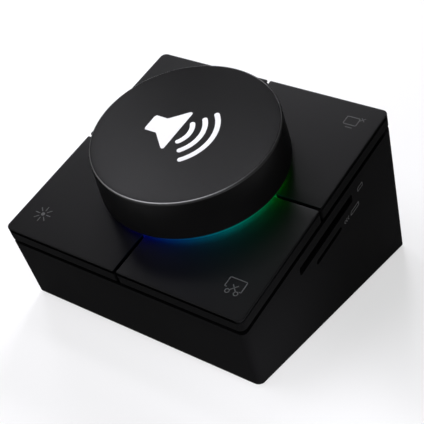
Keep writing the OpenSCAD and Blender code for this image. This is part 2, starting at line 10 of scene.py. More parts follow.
import bpy
import numpy as np
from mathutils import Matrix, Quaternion, Vector


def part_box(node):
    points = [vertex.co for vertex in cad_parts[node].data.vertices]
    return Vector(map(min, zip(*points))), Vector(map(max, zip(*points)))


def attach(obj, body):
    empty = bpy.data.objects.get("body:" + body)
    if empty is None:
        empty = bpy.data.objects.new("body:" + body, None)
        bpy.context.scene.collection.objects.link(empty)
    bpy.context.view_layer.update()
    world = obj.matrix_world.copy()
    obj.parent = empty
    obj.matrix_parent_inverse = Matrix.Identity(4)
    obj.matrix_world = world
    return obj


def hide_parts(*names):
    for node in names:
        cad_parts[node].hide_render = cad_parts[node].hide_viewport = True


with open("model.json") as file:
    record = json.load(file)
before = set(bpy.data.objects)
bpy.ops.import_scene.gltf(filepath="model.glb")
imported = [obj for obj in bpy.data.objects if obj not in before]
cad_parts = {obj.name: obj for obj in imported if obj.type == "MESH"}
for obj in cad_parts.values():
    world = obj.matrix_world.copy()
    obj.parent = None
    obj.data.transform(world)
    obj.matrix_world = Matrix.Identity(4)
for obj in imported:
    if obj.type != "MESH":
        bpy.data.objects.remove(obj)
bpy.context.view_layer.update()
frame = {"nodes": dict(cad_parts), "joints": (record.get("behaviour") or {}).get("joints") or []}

# The slope's frame, from the knob's own joint
MM = 0.001
turn_joint = next(j for j in frame["joints"] if j["name"] == "knob_turn")
TOP = np.array(turn_joint["pos_m"])
SLOPE_W = np.array(turn_joint["axis"])
SLOPE_U = np.array([1.0, 0.0, 0.0])
SLOPE_V = np.cross(SLOPE_W, SLOPE_U)
SLOPE = np.stack([SLOPE_U, SLOPE_V, SLOPE_W])

# Body and keys. The edges of the keys are finer than those of the solids, and the fans that close a key's
# top and underside meet at its eye, KEY_EYE along u and v.
BODY_HALF = round(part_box("housing")[1][0] / MM, 3)
BODY_CORNER = 1.6
KEY_DEPTH = 3.8
KEY_TOP = 1.6
KEY_WALL = 1.4
KEY_ROUND = 0.1
KEY_INNER_ROUND = 0.2
KEY_FOOT_ROUND = 0.15
GROOVE_TOP = 0.35
GROOVE_HIGH = 0.7
GROOVE_DEEP = 0.3
GROOVE_SLANT = 0.05
KEY_SPLIT = 0.8
KEY_SPLIT_CORNER = 0.35
KEY_ARC = 21.9
KEY_ARC_CORNER = 0.5
KEY_EYE = 30.0
SKIRT_MIDDLE = 0.6 * KEY_DEPTH

# Knob and light ring. Levels are w on the slope, and POLE_R is the radius of the knob's middle fans.
KNOB_RIM = 23.5
KNOB_TOP_R = 23.0
KNOB_LOW = 1.9
KNOB_HIGH = 13.1
KNOB_WALL = 1.8
KNOB_EDGE = 0.6
KNOB_RIM_ROUNDS = (0.3, 0.3, 0.5)
KNOB_FACETS = 288
EDGE_STEPS = 13
POLE_R = 2.0
RING_OUT = 21.5
RING_IN = 7.5
RING_HIGH = 0.3
RING_THICK = 1.0
RING_WALL = 1.2
RING_LOW = -5.0
RING_ROUND = 0.4
RING_EYE_ROUND = 0.2
RING_INNER_ROUND = 0.3
RING_FACETS = 240


def on_slope(points):
    """Points (u, v, w) in millimetres as points of the desk's frame in metres."""
    return TOP + MM * (np.asarray(points, float) @ SLOPE)


class Shape:
    """Points with quads and triangles over them, and a finish number for each face."""

    def __init__(self, points, quads, tris=(), kinds=None):
        self.points = np.asarray(points, float).reshape(-1, 3)
        self.quads = np.asarray(quads, int).reshape(-1, 4)
        self.tris = np.asarray(tris, int).reshape(-1, 3)
        count = len(self.quads) + len(self.tris)
        self.kinds = np.zeros(count, int) if kinds is None else np.asarray(kinds, int)

    def moved(self, place):
        """The same faces over points that place() has moved, turned to face outwards."""
        return Shape(place(self.points), self.quads, self.tris, self.kinds).outward()

    def outward(self):
        """Turns the faces round if the volume under them, the sum of the tetrahedra to 0, is negative."""
        p, q, t = self.points, self.quads, self.tris
        corners = np.concatenate([q[:, [0, 1, 2]], q[:, [0, 2, 3]], t])
        a, b, c = (p[corners[:, k]] - p.mean(0) for k in range(3))
        if np.einsum("ij,ij->", a, np.cross(b, c)) < 0:
            self.quads, self.tris = q[:, ::-1], t[:, ::-1]
        return self


def join(shapes):
    """One shape from several: the points in a row, the face numbers moved on by what came before."""
    starts = np.cumsum([0] + [len(s.points) for s in shapes[:-1]])
    return Shape(
        np.concatenate([s.points for s in shapes]),
        np.concatenate([s.quads + k for s, k in zip(shapes, starts)]),
        np.concatenate([s.tris + k for s, k in zip(shapes, starts)]),
        np.concatenate([s.kinds[:len(s.quads)] for s in shapes]
                       + [s.kinds[len(s.quads):] for s in shapes]),
    )


def skin(rows, start=None, end=None, kinds=None, loop=False):
    """Skin over closed rows of points.

    Point j of row i joins point j + 1 of the same row and point j of row i + 1. A start or end point
    closes the first or last row with a fan, and loop joins the last row to the first instead. kinds
    numbers the finish of each face between two rows, or has one column for all faces of a band.
    """
    count, width = rows.shape[:2]
    index = np.arange(count * width).reshape(count, width)
    low = index if loop else index[:-1]
    high = np.roll(index, -1, axis=0) if loop else index[1:]
    quads = np.stack([low, np.roll(low, -1, 1), np.roll(high, -1, 1), high], axis=-1).reshape(-1, 4)
    points, fans = rows.reshape(-1, 3), []
    for pole, ring in ((start, index[0][::-1]), (end, index[-1])):
        if pole is not None:
            tip = np.full(width, len(points))
            points = np.concatenate([points, np.reshape(pole, (1, 3))])
            fans.append(np.stack([ring, np.roll(ring, -1), tip], axis=-1))
    tris = np.concatenate(fans) if fans else ()
    bands = np.broadcast_to(0 if kinds is None else kinds, (len(low), width))
    faces = np.concatenate([bands.ravel(), np.zeros(len(tris), int)])
    return Shape(points, quads, tris, faces).outward()


def revolve(profile, steps, start=None, end=None, kinds=None, loop=False):
    """Turns a profile of (radius, height) pairs about the w axis: (r cos a, r sin a, h) on a grid."""
    angle = np.linspace(0, 2 * np.pi, steps, endpoint=False)
    r, h = (np.asarray(profile, float)[:, k, None] for k in (0, 1))
    rows = np.stack([r * np.cos(angle), r * np.sin(angle), h + 0 * angle], axis=-1)
    poles = [None if p is None else (0.0, 0.0, p) for p in (start, end)]
    return skin(rows, poles[0], poles[1], kinds, loop)


def arc(centre, radius, first, last, steps):
    """Points centre + radius (cos a, sin a) for angles in degrees, both ends counted."""
    a = np.radians(np.linspace(first, last, steps))
    return np.asarray(centre, float) + radius * np.stack([np.cos(a), np.sin(a)], axis=-1)


def line(first, last, steps):
    """Points first + (last - first) t for t from 0 to 1, both ends counted."""
    t = np.linspace(0, 1, steps)[:, None]
    return (1 - t) * np.asarray(first, float) + t * np.asarray(last, float)


def piece(name, shape, finishes, body, replaced=(), sharp=40):
    """Puts a shape into a mesh object that rides on a CAD body, and may stand for CAD nodes."""
    mesh = bpy.data.meshes.new(name)
    mesh.from_pydata(shape.points.tolist(), [], shape.quads.tolist() + shape.tris.tolist())
    for material in finishes:
        mesh.materials.append(material)
    mesh.polygons.foreach_set("material_index", shape.kinds.astype(np.int32))
    mesh.shade_smooth()
    mesh.set_sharp_from_angle(angle=np.radians(sharp))
    mesh.update()
    made = bpy.data.objects.new(name, mesh)
    bpy.context.scene.collection.objects.link(made)
    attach(made, body)
    if replaced:
        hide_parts(*replaced)
    return made


class Wire:
    """An output socket. Arithmetic on it adds Math nodes, and node() adds any other node."""

    def __init__(self, tree, socket=None):
        self.tree, self.socket = tree, socket

    def node(self, kind, settings=(), links=(), out=0):
        """Adds a node of a kind, sets its settings, then its sockets, and returns one output."""
        made = self.tree.nodes.new("ShaderNode" + kind)
        for name, value in dict(settings).items():
            if name == "stops":
                while len(made.color_ramp.elements) < len(value):
                    made.color_ramp.elements.new(1.0)
                for element, (place, colour) in zip(made.color_ramp.elements, value):
                    element.position, element.color = place, (*colour, 1.0)
            else:
                setattr(made, name, value)
        for name, value in dict(links).items():
            if isinstance(value, Wire):
                self.tree.links.new(value.socket, made.inputs[name])
            else:
                made.inputs[name].default_value = value
        return Wire(self.tree, made.outputs[out] if made.outputs else None)

    def math(self, operation, *values):
        """A Math node on this wire and, after it, other wires or numbers."""
        return self.node("Math", {"operation": operation}, dict(enumerate((self,) + values)))

    def __add__(self, other):
        return self.math("ADD", other)

    def __sub__(self, other):
        return self.math("SUBTRACT", other)

    def __rsub__(self, other):
        return self.node("Math", {"operation": "SUBTRACT"}, {0: other, 1: self})

    def __mul__(self, other):
        return self.math("MULTIPLY", other)

    __radd__ = __add__
    __rmul__ = __mul__

    def noise(self, scale, detail=2.0):
        """Noise of about 1 / scale metres over the points that this wire carries."""
        return self.node("TexNoise", {}, {"Vector": self, "Scale": scale, "Detail": detail})

    def blend(self, first, second):
        """A colour that goes from first to second as this wire goes from 0 to 1."""
        return self.node("Mix", {"data_type": "RGBA"}, {0: self, 6: first, 7: second}, out=2)

    def span(self, low, high):
        """This wire's 0 to 1 as low to high."""
        return self * (high - low) + low

    def swing(self, reach):
        """This wire's 0 to 1 as -reach to reach."""
        return (self - 0.5) * (2 * reach)

    def step(self, first, last):
        """A smooth step of this wire: 0 up to first, 1 from last on."""
        return self.node("MapRange", {"interpolation_type": "SMOOTHSTEP"},
                         {"Value": self, "From Min": first, "From Max": last})


def finish(name, fixed, varied):
    """A material: Principled with fixed sockets, and what varied(points) gives for the others.

    varied takes a wire of Object coordinates and returns {socket: wire}; its "Height" goes through a
    Bump node to Normal, with the depth in metres that fixed gives as "Depth".
    """
    made = bpy.data.materials.new(name)
    made.use_nodes = True
    made.node_tree.nodes.clear()
    sheet = Wire(made.node_tree)
    points = sheet.node("TexCoord", out="Object")
    fixed = dict(fixed)
    depth = fixed.pop("Depth", 0.0)
    links = varied(points)
    height = links.pop("Height", None)
    if height is not None:
        links["Normal"] = sheet.node("Bump", {}, {"Distance": depth, "Strength": 1.0, "Height": height})
    surface = sheet.node("BsdfPrincipled", {}, {**fixed, **links})
    sheet.node("OutputMaterial", {}, {"Surface": surface})
    return made


def grey(value, tint=(1.0, 1.0, 1.0)):
    """A neutral colour with an optional tint."""
    return (value * tint[0], value * tint[1], value * tint[2], 1.0)


# Plastic: noise scale per metre, the grain's share of the shade, a cool tint, and swings of roughness
PLASTIC_CLOUD = 90.0
PLASTIC_GRAIN_SHARE = 0.6
PLASTIC_TINT = (1.0, 1.0, 1.05)
PLASTIC_CLOUD_SWING = 0.05
PLASTIC_GRAIN_SWING = 0.03


def moulded(name, dark, light, rough, gloss, grain=0.00022, depth=0.000012):
    """Moulded plastic: a spark-eroded grain, with faint broad changes of shade and of roughness."""
    def varied(points):
        fine = points.noise(1 / grain, 3.0)
        broad = points.noise(PLASTIC_CLOUD)
        shade = PLASTIC_GRAIN_SHARE * fine + (1 - PLASTIC_GRAIN_SHARE) * broad
        return {
            "Base Color": shade.blend(grey(dark), grey(light, PLASTIC_TINT)),
            "Roughness": rough + broad.swing(PLASTIC_CLOUD_SWING) + fine.swing(PLASTIC_GRAIN_SWING),
            "Height": fine,
        }
    return finish(name, {"Specular IOR Level": gloss, "Depth": depth}, varied)


# Metal: scale along its streaks against across them, noise scale per metre, duller shade, roughness swings
METAL_STREAK = 0.08
METAL_CLOUD = 300.0
METAL_DULL = 0.85
METAL_SWINGS = (-0.08, 0.12)


def rolled_metal(name, colour, rough, scratch=0.00012, depth=0.000004):
    """Plated or turned metal: streaks much longer than they are wide, in roughness and in height."""
    dull = tuple(METAL_DULL * c for c in colour)

    def varied(points):
        streaks = points.node("Mapping", {}, {"Vector": points, "Scale": (METAL_STREAK, 1.0, 1.0)})
        lines = streaks.noise(1 / scratch)
        return {
            "Base Color": points.noise(METAL_CLOUD).blend((*dull, 1.0), (*colour, 1.0)),
            "Roughness": lines.span(*(rough + swing for swing in METAL_SWINGS)),
            "Height": lines,
        }
    return finish(name, {"Metallic": 1.0, "Depth": depth}, varied)


# Finishes of the shell and of what is inside it. A plastic has a darker and a lighter shade, a roughness and
# a gloss, a metal its colour and a roughness.
housing_plastic = moulded("housing_plastic", 0.0024, 0.0034, 0.52, 0.004)
base_plastic = moulded("base_plastic", 0.003, 0.005, 0.6, 0.03)
deck_plastic = moulded("deck_plastic", 0.0015, 0.0025, 0.65, 0.02)
key_plastic = moulded("key_plastic", 0.0008, 0.0014, 0.43, 0.052, grain=0.00016, depth=0.000006)
key_skirt = moulded("key_skirt", 0.0024, 0.0034, 0.52, 0.004, grain=0.00016, depth=0.000006)
# Painted shade: the key plastic made darker and glossless, for the shade in the keys' groove
groove_painted_shade = moulded("groove_painted_shade", 0.0008, 0.0014, 0.7, 0.0, grain=0.00016, depth=0.000006)
# Painted light: a lighter copy of the groove finish for the keys' right sides, where light reaches in
groove_painted_light = moulded("groove_painted_light", 0.0055, 0.0075, 0.7, 0.0, grain=0.00016, depth=0.000006)
hub_plastic = moulded("hub_plastic", 0.004, 0.006, 0.6, 0.1)
foot_rubber = moulded("foot_rubber", 0.008, 0.013, 0.85, 0.2, grain=0.0003, depth=0.00003)
black_resin = moulded("black_resin", 0.008, 0.012, 0.45, 0.4)
white_nylon = moulded("white_nylon", 0.72, 0.8, 0.45, 0.5)
lamp_resin = moulded("lamp_resin", 0.75, 0.85, 0.25, 0.5)
socket_steel = rolled_metal("socket_steel", (0.58, 0.58, 0.6), 0.28)
# Painted shade: steel made nearly black for the card sockets, for the shade inside their slots
slot_steel_painted_shade = rolled_metal("slot_steel_painted_shade", (0.02, 0.02, 0.021), 0.45)
screw_steel = rolled_metal("screw_steel", (0.36, 0.36, 0.38), 0.32)
encoder_metal = rolled_metal("encoder_metal", (0.55, 0.55, 0.56), 0.3)
contact_gold = rolled_metal("contact_gold", (0.83, 0.6, 0.24), 0.22)


def slope_plane(points):
    """Wires of u and v in metres on the slope, from Object coordinates: dot products with its axes."""
    from_top = points.node("VectorMath", {"operation": "SUBTRACT"}, {0: points, 1: tuple(TOP)})
    return [
        points.node("VectorMath", {"operation": "DOT_PRODUCT"}, {0: from_top, 1: tuple(axis)}, out="Value")
        for axis in (SLOPE_U, SLOPE_V)
    ]


def knob_radius(points):
    """A wire of the distance from the knob's axis in metres: the root of u squared plus v squared."""
    u, v = slope_plane(points)
    return (u * u + v * v).math("SQRT")


# Knob: noise scales and the lathe's rings per metre, the rings' height, and swings of roughness
BLASTED_GRAIN = 9000.0
KNOB_CLOUD = 60.0
LATHE_RINGS = 42000.0
LATHE_HEIGHT = 0.08
KNOB_CLOUD_SWING = 0.03
KNOB_GRAIN_SWING = 0.025


def anodised(name, dark, light, rough, gloss, depth=0.000003):
    """Black anodised aluminium: a blasted grain with very fine rings left by the lathe under it."""
    def varied(points):
        rings = (knob_radius(points) * LATHE_RINGS).math("SINE")
        fine = points.noise(BLASTED_GRAIN)
        broad = points.noise(KNOB_CLOUD)
        return {
            "Base Color": fine.blend(grey(dark), grey(light)),
            "Roughness": rough + broad.swing(KNOB_CLOUD_SWING) + fine.swing(KNOB_GRAIN_SWING),
            "Height": fine + rings * LATHE_HEIGHT,
        }
    return finish(name, {"Specular IOR Level": gloss, "Depth": depth}, varied)


knob_aluminium = anodised("knob_aluminium", 0.002, 0.004, 0.25, 0.063)
knob_side = anodised("knob_side", 0.004, 0.006, 0.32, 0.045)

# Polish of the knob's edge: where it sets in and where it fades, in shares of the rounding from its
# outer end, what is left of it at the side, its shades, its roughness and its shade at a glancing angle
EDGE_POLISH = (0.85, 0.6)
EDGE_FADE = (0.5, 0.15)
EDGE_LEFT = 0.12
EDGE_DULL = 0.008
EDGE_BRIGHT = 0.175
EDGE_ROUGH = (0.36, 0.42)
EDGE_GLANCE = 0.1


def polished_edge(points):
    """The knob's rounded edge: by its radius the polish sets in below the top and fades to the side."""
    radius = knob_radius(points)
    rise, fall = (radius.step(*(MM * (KNOB_TOP_R - share * KNOB_EDGE) for share in shares))
                  for shares in (EDGE_POLISH, EDGE_FADE))
    polish = rise * (1 - fall * (1 - EDGE_LEFT))
    return {"Base Color": polish.blend(grey(EDGE_DULL), grey(EDGE_BRIGHT)),
            "Roughness": points.noise(BLASTED_GRAIN).span(*EDGE_ROUGH)}


knob_edge = finish("knob_edge", {"Metallic": 1.0, "Specular Tint": grey(EDGE_GLANCE)}, polished_edge)

# Circuit boards: trace cells per metre, a trace's half width in cells and its height in metres, the mask's
# noise scale per metre and range of roughness, and two greens
TRACE_CELLS = 400.0
TRACE_HALF = 0.05
TRACE_HEIGHT = 0.00002
MASK_CLOUD = 700.0
MASK_ROUGH = (0.3, 0.4)
MASK_GREEN = grey(0.05, (0.25, 1.0, 0.5))
TRACE_GREEN = grey(0.12, (0.4, 1.0, 0.55))


def laminate(points):
    """Solder mask over copper: broad lighter traces under a green skin."""
    to_trace = points.node("TexVoronoi", {"feature": "DISTANCE_TO_EDGE"},
                           {"Vector": points, "Scale": TRACE_CELLS})
    copper = to_trace.math("LESS_THAN", TRACE_HALF)
    return {"Base Color": copper.blend(MASK_GREEN, TRACE_GREEN),
            "Roughness": points.noise(MASK_CLOUD).span(*MASK_ROUGH), "Height": copper}


board_laminate = finish("board_laminate", {"Depth": TRACE_HEIGHT}, laminate)

# The lit arc: how its hue and strength run round the knob
GLOW_MIDDLE = -33.0
GLOW_HUE = 0.49
GLOW_HUE_SPREAD = 0.19
GLOW_TURN = 40.0
GLOW_RISE = (-130.0, -82.0)
GLOW_FALL = (-4.0, 48.0)
GLOW_REST = 0.03
GLOW_STOPS = 30
GLOW_STRENGTH = 0.12
# Frost of the light ring: noise scales per metre, two shades, and range of roughness
FROST_CLOUD = 800.0
FROST_GRAIN = 2500.0
FROST_DARK = 0.002
FROST_LIGHT = 0.003
FROST_ROUGH = (0.4, 0.55)


def ease(t):
    """Smooth step from 0 to 1: 3 t squared less 2 t cubed, with t held between 0 and 1."""
    t = np.clip(t, 0, 1)
    return t * t * (3 - 2 * t)


def glow_colour(degrees):
    """Colour of the lit arc: a hue that slides along a tanh, as strong as two smooth steps allow."""
    hue = GLOW_HUE - GLOW_HUE_SPREAD * np.tanh((degrees - GLOW_MIDDLE) / GLOW_TURN)
    rise = ease((degrees - GLOW_RISE[0]) / (GLOW_RISE[1] - GLOW_RISE[0]))
    fall = ease((GLOW_FALL[1] - degrees) / (GLOW_FALL[1] - GLOW_FALL[0]))
    return np.array(colorsys.hsv_to_rgb(hue, 1.0, 1.0)) * max(rise * fall, GLOW_REST)


def lit(points):
    """Frosted diffuser lit from below, its colour read from the angle round the knob."""
    u, v = slope_plane(points)
    share = v.math("ARCTAN2", u) * (0.5 / np.pi) + 0.5
    places = np.linspace(0, 1, GLOW_STOPS)
    stops = [(p, glow_colour(360 * p - 180)) for p in places]
    return {"Base Color": points.noise(FROST_CLOUD).blend(grey(FROST_DARK), grey(FROST_LIGHT)),
            "Roughness": points.noise(FROST_GRAIN).span(*FROST_ROUGH),
            "Emission Color": share.node("ValToRGB", {"stops": stops}, {0: share})}


ring_diffuser = finish("ring_diffuser", {"Emission Strength": GLOW_STRENGTH}, lit)

# Ink: noise scale per metre, its duller shade, range of roughness, gloss, and the speckle's height in metres
INK_GRAIN = 6000.0
INK_DULL = 0.9
INK_ROUGH = (0.45, 0.6)
INK_GLOSS = 0.2
INK_HEIGHT = 0.000003


def ink(name, light):
    """Printed ink: a thin film whose shade, roughness and height vary by a fine speckle."""
    def varied(points):
        speckle = points.noise(INK_GRAIN)
        return {"Base Color": speckle.blend(grey(INK_DULL * light), grey(light)),
                "Roughness": speckle.span(*INK_ROUGH), "Height": speckle}
    return finish(name, {"Specular IOR Level": INK_GLOSS, "Depth": INK_HEIGHT}, varied)


white_ink = ink("white_ink", 0.85)
faint_ink = ink("faint_ink", 0.06)

# The CAD nodes that stay, with the finish of each
for node, material in {
    "housing": housing_plastic, "base_cover": base_plastic,
    "deck": deck_plastic, "deck_screws": screw_steel, "main_board": board_laminate,
    # The card sockets take the steel painted nearly black as shade inside the slots
    "board_screws": screw_steel, "chips": black_resin, "sd_socket": slot_steel_painted_shade,
    "micro_sd_socket": slot_steel_painted_shade, "usb_a_shells": socket_steel, "usb_a_tongues": black_resin,
    "usb_c_shell": socket_steel, "usb_c_tongue": black_resin, "led_board": board_laminate,
    "led_screws": screw_steel, "leds": lamp_resin, "led_header": black_resin,
    "encoder_body": encoder_metal, "encoder_washer": encoder_metal, "encoder_nut": encoder_metal,
    "encoder_plunger": white_nylon, "encoder_shaft": encoder_metal, "knob_hub": hub_plastic,
    "switch_bodies": black_resin, "plunger_front_left": white_nylon, "plunger_front_right": white_nylon,
    "plunger_back_left": white_nylon, "plunger_back_right": white_nylon,
}.items():
    mesh = frame["nodes"][node].data
    mesh.materials.clear()
    mesh.materials.append(material)


# Finish numbers of a key's faces, and steps along the runs of its outline
# GROOVE carries the groove's painted shade, and the last number its painted light
TOP_FACE, SKIRT, GROOVE, LIGHT_PAINTED_GROOVE = range(4)
SPLIT_STEPS = 6
SMALL_STEPS = 7
SIDE_STEPS = 24
CORNER_STEPS = 19
ARC_STEPS = 48
ROUND_STEPS = 5
# How a step between inner and outer sides is spread over five points of the outline
SIDE_SPREAD = (0.1, 0.2, 0.4, 0.2, 0.1)
# How far the rows on the top, and the one under it, are drawn in to the key's eye
TOP_ROWS = (0.6, 0.12)
UNDER_ROW = 0.5


def key_outline():
    """Outline of the back right key, anticlockwise, with 1 at its outer sides and 0 at its inner ones.

    Straight sides join three kinds of corner: the body's round corner, the small corners beside the
    split, and the fillets where the split meets the arc round the knob. A fillet's middle lies its own
    radius off both the split's line and the arc. The step from 0 to 1 is spread over five points.
    """
    near, far = KEY_SPLIT / 2, BODY_HALF
    r, small = KEY_ARC_CORNER, KEY_SPLIT_CORNER
    eye = np.array([np.sqrt((KEY_ARC + r) ** 2 - (near + r) ** 2), near + r])
    lean = np.degrees(np.arctan2(eye[1], eye[0]))
    outer = far - BODY_CORNER
    runs = [
        (arc(eye, r, 180 + lean, 270, SMALL_STEPS), 0),
        (line((eye[0] + r, near), (far - 2 * small, near), SPLIT_STEPS), 0),
        (arc((far - small, near + small), small, -90, 0, SMALL_STEPS), 1),
        (line((far, near + 2 * small), (far, outer - small), SIDE_STEPS), 1),
        (arc((outer, outer), BODY_CORNER, 0, 90, CORNER_STEPS), 1),
        (line((outer - small, far), (near + 2 * small, far), SIDE_STEPS), 1),
        (arc((near + small, far - small), small, 90, 180, SMALL_STEPS), 1),
        (line((near, far - 2 * small), (near, eye[0] + r), SPLIT_STEPS), 0),
        (arc(eye[::-1], r, 180, 270 - lean, SMALL_STEPS), 0),
        (arc((0, 0), KEY_ARC, 90 - lean, lean, ARC_STEPS)[1:-1], 0),
    ]
    points = np.concatenate([run for run, _ in runs])
    outside = np.concatenate([np.full(len(run), float(side)) for run, side in runs])
    padded = np.concatenate([outside[-2:], outside, outside[:2]])
    return points, np.convolve(padded, SIDE_SPREAD, mode="valid")


def outward_normals(points):
    """Unit normals to the right of a closed anticlockwise path, from the chord between its neighbours."""
    chord = np.roll(points, -1, 0) - np.roll(points, 1, 0)
    normal = np.stack([chord[:, 1], -chord[:, 0]], axis=-1)
    return normal / np.linalg.norm(normal, axis=1, keepdims=True)


def key_shape():
    """A key cap: the outline carried down a profile of (inset, height) pairs and closed at both ends.

    The profile runs from the middle of the top out to the rim, round the edge by a quarter circle, into
    and out of the shadow groove of the outer sides, down the skirt, under it, up its inner face and back
    to the middle of the underside.
    """
    outline, outside = key_outline()
    normal = outward_normals(outline)
    rounding = KEY_INNER_ROUND + (KEY_ROUND - KEY_INNER_ROUND) * outside
    quarter = np.radians(np.linspace(90, 0, ROUND_STEPS))[:, None]
    groove_low = GROOVE_TOP + GROOVE_HIGH
    groove_rows = [(0, GROOVE_TOP), (GROOVE_DEEP, GROOVE_TOP + GROOVE_SLANT),
                   (GROOVE_DEEP, groove_low - GROOVE_SLANT), (0, groove_low)]
    levels = np.array(groove_rows + [(0, SKIRT_MIDDLE), (0, KEY_DEPTH - KEY_FOOT_ROUND)])
    under = np.array([(KEY_FOOT_ROUND, KEY_DEPTH), (KEY_WALL, KEY_DEPTH), (KEY_WALL, KEY_TOP)])
    flat = np.ones_like(outside)
    inset = np.concatenate([
        rounding * (1 - np.cos(quarter)), levels[:, :1] * outside, under[:, :1] * flat])
    depth = np.concatenate([rounding * (1 - np.sin(quarter)), levels[:, 1:] * flat, under[:, 1:] * flat])
    rim = outline - inset[..., None] * normal
    rows = np.concatenate([rim, -depth[..., None]], axis=-1)
    top_eye, low_eye = (np.array([KEY_EYE, KEY_EYE, level]) for level in (0.0, -KEY_TOP))
    top = rows[:1] + np.reshape(TOP_ROWS, (-1, 1, 1)) * (top_eye - rows[:1])
    low = rows[-1:] + UNDER_ROW * (low_eye - rows[-1:])
    rows = np.concatenate([top, rows, low])
    groove = len(top) + len(quarter) - 1
    skirt = groove + len(groove_rows)
    band = np.arange(len(rows) - 1)[:, None]
    # The groove of the outer sides takes the painted shade finish
    in_groove = (band >= groove) & (band < skirt) & (outside > 0.5)
    kinds = np.where(in_groove, GROOVE, np.where(band >= skirt, SKIRT, TOP_FACE))
    return skin(rows, top_eye, low_eye, kinds)


def quarter_turns(points, count):
    """Points turned about w by a number of quarter turns, each of which makes (u, v) into (-v, u)."""
    u, v, w = np.asarray(points, float).T
    for _ in range(count):
        u, v = -v, u
    return np.stack([u, v, w], axis=-1)


def paint_light_in_groove(key):
    """Painted light: the groove on a key's right side, which light reaches into, gets the lighter finish."""
    middles = key.points[key.quads].mean(1)
    sides = key.kinds[:len(key.quads)]
    sides[(sides == GROOVE) & (middles[:, 0] > BODY_HALF - KEY_WALL)] = LIGHT_PAINTED_GROOVE
    return key


# The last two finishes are the groove's painted shade and its painted light
KEY_FINISHES = [key_plastic, key_skirt, groove_painted_shade, groove_painted_light]
KEY_TURNS = {"back_right": 0, "back_left": 1, "front_left": 2, "front_right": 3}
cap = key_shape()
for place, turns in KEY_TURNS.items():
    key = Shape(quarter_turns(cap.points, turns), cap.quads, cap.tris, cap.kinds.copy())
    piece(f"cap_{place}", paint_light_in_groove(key).moved(on_slope), KEY_FINISHES, f"{place}_key",
          [f"key_{place}"])


def fillet(corner, before, after, radius, steps):
    """Rounds a profile's corner: a quadratic curve between the points a radius back on its two sides."""
    corner, before, after = (np.asarray(p, float) for p in (corner, before, after))
    first = corner + radius * (before - corner) / np.linalg.norm(before - corner)
    last = corner + radius * (after - corner) / np.linalg.norm(after - corner)
    t = np.linspace(0, 1, steps)[:, None]
    return (1 - t) ** 2 * first + 2 * t * (1 - t) * corner + t ** 2 * last


def rounded_profile(corners, radii, steps=6):
    """A closed profile of (radius, height) corners, each rounded by its own fillet."""
    count = len(corners)
    return np.concatenate([
        fillet(corners[k], corners[k - 1], corners[(k + 1) % count], radii[k], steps) for k in range(count)
    ])


# Finish numbers of the knob's faces, and steps along its section
KNOB_FACE, KNOB_BEVEL, KNOB_FLANK = range(3)
FACE_STEPS = 14
FLANK_STEPS = 10
RIM_STEPS = 7


def knob_shape():
    """The knob: a cup turned from its section.

    The section runs from the middle of the top out to the edge, round it by a quarter circle, down the
    tapered side, round the two rims at its foot, up the inner wall and back to the middle of the ceiling.
    """
    ceiling = KNOB_HIGH - KNOB_WALL
    edge = arc((KNOB_TOP_R - KNOB_EDGE, KNOB_HIGH - KNOB_EDGE), KNOB_EDGE, 90, 0, EDGE_STEPS)
    section = [edge[-1], (KNOB_RIM, KNOB_LOW), (KNOB_RIM - KNOB_WALL, KNOB_LOW),
               (KNOB_TOP_R - KNOB_WALL, ceiling), (POLE_R, ceiling)]
    rims = [fillet(section[k], section[k - 1], section[k + 1], r, RIM_STEPS)
            for k, r in enumerate(KNOB_RIM_ROUNDS, 1)]
    top = line((POLE_R, KNOB_HIGH), edge[0], FACE_STEPS)[:-1]
    side = line(edge[-1], rims[0][0], FLANK_STEPS)[1:-1]
    profile = np.concatenate([top, edge, side, *rims, section[-1:]])
    bands = np.full((len(profile) - 1, 1), KNOB_FLANK)
    bands[:len(top)] = KNOB_FACE
    bands[len(top):len(top) + EDGE_STEPS - 1] = KNOB_BEVEL
    return revolve(profile, KNOB_FACETS, KNOB_HIGH, ceiling, bands)


piece("knob_cup", knob_shape().moved(on_slope), [knob_aluminium, knob_edge, knob_side], "knob",
      ["knob_shell"])

ring_section = rounded_profile(
    [(RING_OUT - RING_WALL, RING_LOW), (RING_OUT, RING_LOW), (RING_OUT, RING_HIGH), (RING_IN, RING_HIGH),
     (RING_IN, RING_HIGH - RING_THICK), (RING_OUT - RING_WALL, RING_HIGH - RING_THICK)],
    [RING_EYE_ROUND, RING_EYE_ROUND, RING_ROUND, RING_EYE_ROUND, RING_EYE_ROUND, RING_INNER_ROUND])
piece("glow_ring", revolve(ring_section, RING_FACETS, loop=True).moved(on_slope), [ring_diffuser], "base",
      ["light_ring"])

# Printed film: its thickness, its section in shares of half width and thickness, and its least width at a tip
INK_THICK = 0.03
STROKE_ACROSS = np.array([-1.0, -1.0, -0.85, 0.85, 1.0, 1.0])
STROKE_LIFT = np.array([-1.0, 0.5, 1.0, 1.0, 0.5, -1.0])
STROKE_TIP = 0.02


